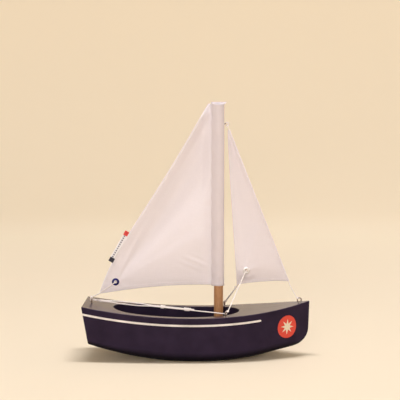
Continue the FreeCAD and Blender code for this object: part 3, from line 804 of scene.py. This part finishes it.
def sleeve():
    """The mainsail's luff sleeve: round on the mast, drawn to a seam aft, sewn shut across its top."""
    low, top = SLEEVE_LOW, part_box("mainsail_sleeve")[1].z
    sides = 72
    heights = list(np.linspace(low, top - 3.0 * MM, 150))
    heights += [top + d * MM for d in (-2.4, -1.9, -1.5, -1.1, -0.7, -0.3, 0.0, 0.5, 0.9)]
    outside, inside = [], []
    for z in heights:
        close = ease((z - (top - 2.2 * MM)) / (2.2 * MM))
        for k in range(sides):
            turn = 2 * math.pi * k / sides
            c, s = math.cos(turn), math.sin(turn)
            aft = max(0.0, -c) ** 7
            up = z / MM
            looseness = 0.35 + 0.65 * max(0, -c)
            wrinkle = 0.14 * math.sin(up / 2.7 + 2.2 * turn + 1.5 * math.sin(up / 13)) * looseness
            wrinkle += 0.10 * math.sin(up / 1.3 - 3 * turn) * bump(up - 75, 9)
            round_x = SLEEVE_RADIUS * c - 1.5 * MM * aft
            round_y = SLEEVE_RADIUS * s
            flat_x = 7.4 * MM * c
            flat_y = 0.55 * MM * s
            grow = 1 + wrinkle * MM / SLEEVE_RADIUS * (1 - close)
            x = (round_x * grow) * (1 - close) + flat_x * close
            y = (round_y * grow) * (1 - close ** 2) + flat_y * close ** 2
            hem = 0.22 * MM * bump((z - low) / MM - 1.6, 1.5)
            out = Vector((c, s, 0)) * hem
            outside.append((MAST_X + x + out.x, y + out.y, z))
            thin = 0.45 * MM * (1 - 0.6 * close)
            inner_x = MAST_X + x - c * thin
            inner_y = y - s * thin * (1 - 0.5 * close)
            inside.append((inner_x, inner_y, z - 0.45 * MM * close))
    rows = len(heights)
    points = outside + inside
    shift = len(outside)
    faces = []

    def open_at(i, k):
        """Whether a face lies in the slot that the mast eye comes through."""
        turn = 2 * math.pi * (k + 0.5) / sides
        turn = min(turn, 2 * math.pi - turn)
        z = (heights[i] + heights[i + 1]) / 2
        return turn < math.radians(23) and abs(z - MAST_EYE_Z) < 1.7 * MM

    for i in range(rows - 1):
        for k in range(sides):
            if open_at(i, k):
                continue
            a, b = i * sides + k, i * sides + (k + 1) % sides
            faces.append((a, b, b + sides, a + sides))
            faces.append((a + shift + sides, b + shift + sides, b + shift, a + shift))
        for k in range(sides):
            a, b = i * sides + k, i * sides + (k + 1) % sides
            here = open_at(i, k)
            if here != open_at(i, (k + 1) % sides):
                faces.append((b, b + sides, b + sides + shift, b + shift))
            if i + 2 < rows and here != open_at(i + 1, k):
                faces.append((a + sides, b + sides, b + sides + shift, a + sides + shift))
    for k in range(sides):
        a, b = k, (k + 1) % sides
        faces.append((b, a, a + shift, b + shift))
    last = (rows - 1) * sides
    faces.append(tuple(last + k for k in range(sides)))
    faces.append(tuple(last + shift + k for k in reversed(range(sides))))
    # The sleeve takes the darkened cotton, a painted shade
    return paint(mesh_object("mainsail_sleeve_cloth", points, faces), shaded_sleeve_cotton)


def ring_of_thread(name, centre, half_y, half_z, x):
    """Buttonhole stitching round the slot that the mast eye comes through."""
    path = []
    for k in range(41):
        turn = 2 * math.pi * k / 40
        y = half_y * math.copysign(abs(math.cos(turn)) ** 0.5, math.cos(turn))
        z = half_z * math.copysign(abs(math.sin(turn)) ** 0.5, math.sin(turn))
        path.append((MAST_X + math.sqrt(x * x - y * y), y, centre + z))
    return paint(tube(name, path, 0.22 * MM, 8), thread_white)


sleeve_cloth = sleeve()
slot_distance = SLEEVE_RADIUS + 0.05 * MM
slot_thread = ring_of_thread("sleeve_slot_stitching", MAST_EYE_Z, 2.2 * MM, 1.8 * MM, slot_distance)
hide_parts("mainsail_sleeve")
for obj in (sleeve_cloth, slot_thread):
    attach(obj, "mainsail")


# ---- jib luff hem on the forestay


def luff_hem():
    """The tube of cloth sewn round the forestay."""
    start = JIB_HEAD + (JIB_TACK - JIB_HEAD).normalized() * 6 * MM
    path = spaced([start, JIB_TACK], 150)

    def relief(i, turn):
        return 1.0 + 0.06 * math.sin(i / 3.1 + 2 * turn) + 0.04 * math.sin(i / 1.7 - turn)

    return paint(tube("jib_luff_cloth", path, 1.0 * MM, 16, relief), jib_cotton)


luff_cloth = luff_hem()
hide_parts("jib_luff_hem")
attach(luff_cloth, "jib")


# ---- eyelets


def eyelet(name, spot, hand, material):
    """A pressed eyelet: a rolled flange on one face of the cloth and a barrel through it."""
    r, h = EYELET_RADIUS, EYELET_HOLE
    lift, roll = 0.25 * MM, 0.95 * MM
    profile = [
        (h, -0.2 * MM),
        (h, lift + 0.45 * roll),
        (h + 0.25 * MM, lift + 0.9 * roll),
        (h + 0.7 * MM, lift + roll),
        (h + 1.2 * MM, lift + 0.86 * roll),
        (r - 0.35 * MM, lift + 0.30 * roll),
        (r, lift + 0.08 * roll),
        (r - 0.05 * MM, lift - 0.1 * MM),
        (h + 0.5 * MM, lift - 0.1 * MM),
        (h + 0.35 * MM, -0.2 * MM),
    ]
    return paint(lathe(name, profile, in_plane(spot), (0, hand, 0), 56), material)


for sail_name, spot, body, front, cad in (
    ("main", MAIN_EYELET, "mainsail", navy_enamel, "main_clew"),
    ("jib", JIB_EYELET, "jib", nickel, "jib_clew"),
):
    near = eyelet(sail_name + "_eyelet_near", spot, -1, front)
    away = eyelet(sail_name + "_eyelet_far", spot, 1, nickel)
    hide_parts(cad + "_eyelet")
    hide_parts(cad + "_washer")
    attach(near, body)
    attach(away, body)


# ---- ribbon tag on the leech


def tag_strip(name, start, end, material, node):
    """A length of folded ribbon, two layers joined along a rounded outer fold."""
    middle = TAG_MIDDLE - TAG_OUT * 0.5
    base = float(mainsail.surface(np.array(1.0), np.array(0.36))[1]) / MM
    layers = []
    steps = 26
    outline = [(0, 0.34), (1.2, 0.36), (2.6, 0.38), (3.9, 0.36), (4.6, 0.26), (4.9, 0.08)]
    outline += [(4.9, -0.08), (4.6, -0.26), (3.9, -0.36), (2.6, -0.38), (1.2, -0.36), (0, -0.34)]
    for i in range(steps + 1):
        d = start + (end - start) * i / steps
        wave = 0.35 * math.sin(d / 5.5 + 0.8)
        for reach, side in outline:
            lean = base + 0.10 * reach + wave * reach / 5
            p = middle + TAG_ALONG * d + TAG_OUT * reach
            layers.append((p.x * MM, (lean + side) * MM, p.z * MM))
    n = len(outline)
    faces = ring_faces(steps + 1, n)
    faces.append(tuple(range(n)))
    faces.append(tuple(reversed(range(steps * n, steps * n + n))))
    obj = paint(mesh_object(name, layers, faces), material)
    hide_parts(node)
    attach(obj, "mainsail")
    return obj


tag_strip("tag_white", -12.4, 12.4, ribbon_white, "tag_ribbon")
tag_strip("tag_red", 12.4, 17.0, ribbon_red, "tag_red_end")
tag_strip("tag_blue", -17.0, -12.4, ribbon_blue, "tag_blue_end")


# ---- screw eyes


def screw_eye(node, facing, into, ring, wire):
    """Bent wire: a ring left slightly open where it meets its shank, which goes into the wood."""
    low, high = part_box(node)
    into = Vector(into)
    top = ring + wire
    if into.z < 0:
        centre = Vector(((low.x + high.x) / 2, (low.y + high.y) / 2, high.z - top))
    else:
        centre = Vector((high.x - top, (low.y + high.y) / 2, (low.z + high.z) / 2))
    side = into.cross(Vector(facing)).normalized()
    control = []
    for k in range(15):
        angle = math.radians(-58 + k * (222 + 58) / 14)
        control.append(centre + side * ring * math.cos(angle) - into * ring * math.sin(angle))
    control.append(centre + into * (ring * 1.02) - side * 0.5 * ring)
    control.append(centre + into * (ring * 1.35) - side * 0.08 * ring)
    control.append(centre + into * (ring * 1.9))
    control.append(centre + into * (ring + 6 * MM))
    path = smooth_path(control, 110)
    obj = paint(tube(node + "_wire", path, wire, 14), eye_metal)
    outline = [(wire * 0.9, -0.25 * MM), (wire * 1.9, -0.22 * MM)]
    outline += [(wire * 1.7, 0.02 * MM), (wire * 0.9, 0.08 * MM)]
    collar = paint(lathe("collar", outline, centre + into * (ring + wire), -into, 24), eye_metal)
    obj = join(node + "_wire", [obj, collar])
    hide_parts(node)
    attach(obj, "hull")
    return centre


RING, WIRE = 2.0 * MM, 0.58 * MM
bow_ring = screw_eye("bow_eye", (0.12, 0.99, 0), (0, 0, -1), RING, WIRE)
stern_ring = screw_eye("stern_eye", (1, 0, 0), (0, 0, -1), RING, WIRE)
starboard_ring = screw_eye("eye_starboard", (0.974, -0.228, 0), (0, 0, -1), RING, WIRE)
port_ring = screw_eye("eye_port", (0.974, 0.228, 0), (0, 0, -1), RING, WIRE)
mast_ring = screw_eye("mast_eye", (0, 1, 0), (-1, 0, 0), 1.5 * MM, 0.48 * MM)


# ---- cords and knots


def tie(pieces, name, body, *nodes):
    """One cord or knot out of its pieces, in place of CAD nodes; without a body, it is left unattached.
    """
    obj = join(name, [paint(piece, white_cord) for piece in pieces])
    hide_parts(*nodes)
    if body:
        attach(obj, body)
    return obj


def offsets(origin, places):
    """Points at offsets in millimetres from an origin."""
    return [origin + Vector(place) * MM for place in places]


def as_path(points):
    return np.array([tuple(point) for point in points])


luff_run = (JIB_TACK - JIB_HEAD).normalized()
stay_top = JIB_HEAD + luff_run * 2.2 * MM
stay_bend = JIB_TACK + luff_run * 6.5 * MM
stay_foot = bow_ring + Vector((-2.3, 0, 1.7)) * MM
stay_line = smooth_path([stay_top, JIB_TACK - luff_run * 12 * MM, JIB_TACK, stay_bend, stay_foot], 300)
tie([braided("stay", stay_line)], "forestay_cord", "hull", "forestay")


def whipping(name, centre, side, up, start, end, turns, around_wire):
    """Cord wound round the wire of a ring, from one angle of the ring to another."""
    path = []
    for k in range(turns * 14 + 1):
        share = k / (turns * 14)
        angle = math.radians(start + (end - start) * share)
        outward = side * math.cos(angle) + up * math.sin(angle)
        wind = 2 * math.pi * k / 14
        off = outward * math.cos(wind) + side.cross(up) * math.sin(wind)
        path.append(centre + outward * around_wire[0] + off * around_wire[1])
    return tube(name, path, 0.36 * MM, 8)


AFT_TO_BOW, UPWARD = Vector((1, 0, 0)), Vector((0, 0, 1))
head_knot = knot("head_knot", JIB_HEAD + luff_run * 1.7 * MM, luff_run, 1.35 * MM, 0.48 * MM)
head_loop = whipping("head_loop", mast_ring, AFT_TO_BOW, UPWARD, -100, 150, 9, (1.5 * MM, 0.62 * MM))
tie([head_knot, head_loop], "forestay_head_tie", "hull", "forestay_head_knot")
bow_knot_at = stay_foot + Vector((0.2, 0, 0.3)) * MM
bow_knot = knot("bow_knot", bow_knot_at, (0.45, 0, -0.9), 1.0 * MM, 0.42 * MM, 0.5)
bow_loop = whipping("bow_loop", bow_ring, AFT_TO_BOW, UPWARD, 128, 158, 2, (2.0 * MM, 0.72 * MM))
tie([bow_knot, bow_loop], "forestay_bow_tie", "hull", "forestay_bow_knot")

# The deck sheet and its doubled strand: twisted together aft, side by side under the sliding knots
sheet_run = (starboard_ring - stern_ring).normalized()
beside = sheet_run.cross(Vector((0, 0.77, 0.64))).cross(sheet_run).normalized() * 1.15 * MM
flat_side = sheet_run.cross(beside).normalized() * beside.length
strand_span = 103 * MM


def strand(first):
    """One of the two strands: crossed once near the stern eye, slack apart, then close together."""
    hand = 1 if first else -1
    points = []
    for k in range(231):
        d = -1.0 * MM + (strand_span + 1.0 * MM) * k / 230
        turn = math.pi * (1 - ease((d - 1 * MM) / (11 * MM)))
        slack = 1.7 * ease((d - 14 * MM) / (20 * MM)) * (1 - ease((d - 46 * MM) / (16 * MM)))
        apart = 0.5 * hand * (math.cos(turn) * beside + math.sin(turn) * flat_side) * (1 + slack)
        points.append(stern_ring + beside * 0.5 + sheet_run * d + apart)
    return points


main_strand = strand(False)
over = starboard_ring - main_strand[-1]
main_strand = main_strand + [main_strand[-1] + over * share for share in (0.25, 0.5, 0.75, 1.0)]
main_strand.append(starboard_ring + sheet_run * 1.2 * MM)
tie([braided("deck", as_path(main_strand))], "deck_sheet_cord", "hull", "deck_sheet")
return_strand = strand(True)[8:]
tie([braided("return", as_path(return_strand))], "deck_sheet_return_cord", "hull", "deck_sheet_return")


def hitch(distance, turns, length, name, node, body):
    """Turns of cord wound round both strands, with its end tucked out."""
    wide = CORD + beside.length / 2 + 0.42 * MM
    deep = CORD + 0.42 * MM
    across, along = beside.normalized(), sheet_run
    other = flat_side.normalized()
    centre = stern_ring + beside * 0.5 + sheet_run * distance * MM
    path = []
    for k in range(turns * 24 + 1):
        turn = 2 * math.pi * k / 24
        place = (k / (turns * 24) - 0.5) * length * MM
        round_it = across * wide * math.cos(turn) + other * deep * math.sin(turn)
        path.append(centre + along * place + round_it)
    path.append(path[-1] + along * 0.9 * MM + across * 0.5 * MM)
    path.insert(0, path[0] - along * 0.7 * MM + across * 0.35 * MM)
    return tie([tube(name, path, 0.38 * MM, 10)], name, body, node)


hitch(71.5, 4, 2.9, "sliding_hitch_aft", "sliding_knot_aft", "slip_knot_aft")
hitch(96.0, 6, 5.0, "sliding_hitch_fore", "sliding_knot_fore", "slip_knot_fore")

stern_turn = [(1.6, 0.3, -0.2), (0.6, 0.8, 1.9), (-0.3, 0.3, 3.0), (-1.1, -0.6, 1.9)]
stern_turn += [(-1.3, -0.7, 0.2), (-0.4, 0.2, -0.6), (1.2, 0.5, -0.2)]
stern_loop = tube("stern_loop", smooth_path(offsets(stern_ring, stern_turn), 50), 0.5 * MM, 10)
stern_knot_at = stern_ring + Vector((-0.3, 0, 2.9)) * MM
stern_knot = knot("stern_tie", stern_knot_at, (0.6, 0.1, 0.8), 1.35 * MM, 0.5 * MM)
tie([stern_knot, stern_loop], "stern_tie", "hull", "stern_knot")

# Mainsheet: out of the clew eyelet, over the cloth corner and down to the stern eye
main_hole = in_plane(MAIN_EYELET)
main_through = [(0.3, 2.4, 0.3), (0.0, 0.6, 0.1), (-0.2, -0.9, -0.2)]
main_through += [(-1.6, -2.2, -1.1), (-4.5, -2.2, -3.2)]
main_route = offsets(main_hole, main_through)
main_route += offsets(Vector((0, 0, 0)), [(-93.6, -2.1, 63.0), (-97.5, -1.7, 60.4)])
main_route += offsets(stern_ring, [(0.2, -0.6, 3.2)])
main_line = braided("mainsheet_line", smooth_path(main_route, 120))
mainsheet = tie([main_line], "mainsheet_cord", None, "mainsheet")
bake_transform(mainsheet)
clew_knot = knot("clew_tie", main_hole + Vector((0.3, 2.7, 0.3)) * MM, (0.1, 1, 0.1), 1.4 * MM, 0.5 * MM)
tie([clew_knot], "mainsheet_clew_tie", "mainsail", "mainsheet_clew_knot")

# Jib sheets: from the clew eyelet down to the side eyes, the port one knotted and doubled below
jib_hole = in_plane(JIB_EYELET)
jib_through = [(0.1, 2.3, 0.3), (0.0, 0.7, 0.1), (-0.2, -0.9, -0.2)]
jib_through += [(-1.1, -2.5, -1.7), (-3.2, -4.6, -5.6)]
starboard_route = offsets(jib_hole, jib_through)
starboard_foot = starboard_ring + Vector((2.2, 0.2, 2.6)) * MM
starboard_route.append(starboard_foot.lerp(starboard_route[-1], 0.35))
starboard_route.append(starboard_foot)
starboard_line = braided("starboard_line", smooth_path(starboard_route, 150))
starboard_sheet = tie([starboard_line], "jib_sheet_starboard_cord", None, "jib_sheet_starboard")
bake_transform(starboard_sheet)

port_head = jib_hole + Vector((-0.6, 4.0, -1.0)) * MM
port_foot = port_ring + Vector((1.4, -0.5, 2.5)) * MM
port_mid = port_head.lerp(port_foot, 0.56) + Vector((1.5, 0, 0.3)) * MM
port_sag = Vector((0.3, 0.0, -0.4)) * MM
port_route = [port_head, port_head.lerp(port_mid, 0.5) + port_sag, port_mid]
port_side = (port_foot - port_mid).cross(Vector((0, 0, 1))).normalized() * 0.7 * MM
port_parts = [braided("port_line", smooth_path(port_route, 100))]
for hand in (-1, 1):
    leg_middle = port_mid.lerp(port_foot, 0.5) + port_side * 1.3 * hand
    leg = [port_mid, leg_middle, port_foot + port_side * 0.6 * hand]
    port_parts.append(braided("port_leg", smooth_path(leg, 60)))
port_parts.append(knot("port_mid_tie", port_mid, port_foot - port_head, 1.6 * MM, 0.52 * MM))
port_sheet = tie(port_parts, "jib_sheet_port_cord", None, "jib_sheet_port", "jib_sheet_knot")
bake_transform(port_sheet)
jib_knot = knot("jib_tie", jib_hole + Vector((-0.3, 3.0, -0.4)) * MM, (0, 1, -0.2), 1.5 * MM, 0.5 * MM)
tie([jib_knot], "jib_clew_tie", "jib", "jib_clew_knot")
starboard_knot_at = starboard_foot + Vector((-0.5, 0, -0.5)) * MM
starboard_knot = knot("eye_tie_s", starboard_knot_at, (0.3, 0.5, 0.8), 1.2 * MM, 0.48 * MM, 0.9)
tie([starboard_knot], "sheet_tie_starboard", "hull", "sheet_knot_starboard")
port_knot_at = port_foot + Vector((-0.1, 0.2, -0.4)) * MM
port_knot = knot("eye_tie_p", port_knot_at, (0.3, -0.5, 0.8), 1.2 * MM, 0.48 * MM, 0.4)
tie([port_knot], "sheet_tie_port", "hull", "sheet_knot_port")


# ---- studio


def studio_floor():
    """A round seamless sweep: flat under the boat, rising all the way round far behind it."""
    profile = [(0.0, 0.0), (0.15, 0.0), (0.4, 0.0), (0.9, 0.0), (1.5, 0.0)]
    for k in range(1, 13):
        turn = math.radians(90 * k / 12)
        profile.append((1.5 + 1.0 * math.sin(turn), 1.0 - 1.0 * math.cos(turn)))
    profile.append((2.5, 1.6))
    steps = 96
    points = []
    for r, z in profile:
        for k in range(steps):
            turn = 2 * math.pi * k / steps
            points.append((r * math.cos(turn), r * math.sin(turn), z))
    obj = mesh_object("studio_floor", points, ring_faces(len(profile), steps))
    m = Nodes("studio_paper")
    speck = m.noise(900, 3)
    low, high = (0.934, 0.813, 0.630), (0.954, 0.833, 0.650)
    paper = m.ramp(speck, "Fac", [(0.3, low), (0.7, high)])
    m.link(paper, "Color", m.shader, "Base Color")
    m.link(paper, "Color", m.shader, "Emission Color")
    far = m.add("ShaderNodeVectorMath", operation="LENGTH")
    m.link(m.place, "Object", far, "Vector")
    glow = m.add("ShaderNodeMapRange", interpolation_type="SMOOTHSTEP")
    for key, value in (("From Min", 0.2), ("From Max", 1.4), ("To Min", 0.0), ("To Max", FAR_GLOW)):
        glow.inputs[key].default_value = value
    m.link(far, "Value", glow, "Value")
    m.link(glow, "Result", m.shader, "Emission Strength")
    m.set(Roughness=0.9, Specular_IOR_Level=0.1)
    return paint(obj, m.material)


studio_floor()


def area_light(name, place, target, size, power, depth=None, spread=180):
    """A soft light aimed at a target: a disc of a size, or a rectangle when a depth is given."""
    data = bpy.data.lights.new(name, "AREA")
    data.shape = "RECTANGLE" if depth else "DISK"
    data.size = size
    if depth:
        data.size_y = depth
    data.spread = math.radians(spread)
    data.energy = power
    data.color = LAMP_COLOUR
    obj = bpy.data.objects.new(name, data)
    bpy.context.scene.collection.objects.link(obj)
    obj.location = place
    obj.rotation_mode = "QUATERNION"
    obj.rotation_quaternion = (Vector(target) - Vector(place)).to_track_quat("-Z", "Y")


area_light("key", (0.10, -0.14, 1.7), (0.10, 0, 0.1), 0.95, KEY_POWER, 0.22)
area_light("front", (-0.35, -2.1, 0.5), (0, 0, 0.15), 0.8, FRONT_POWER, spread=75)
area_light("back", (0.5, 2.0, 0.7), (0, 0, 0.15), 0.8, BACK_POWER, spread=90)

scene = bpy.context.scene
world = bpy.data.worlds.new("studio_air")
scene.world = world
world.use_nodes = True
world.node_tree.nodes["Background"].inputs["Color"].default_value = (1.0, 0.98, 1.0, 1)
world.node_tree.nodes["Background"].inputs["Strength"].default_value = AIR
scene.view_settings.view_transform = "Standard"
scene.view_settings.look = "None"

lens = bpy.data.cameras.new("camera")
lens.lens = CAMERA_LENS
lens.sensor_width = 36
camera = bpy.data.objects.new("camera", lens)
scene.collection.objects.link(camera)
camera.location = CAMERA_AT
camera.rotation_euler = (math.pi / 2 - CAMERA_PITCH, 0, 0)
scene.camera = camera
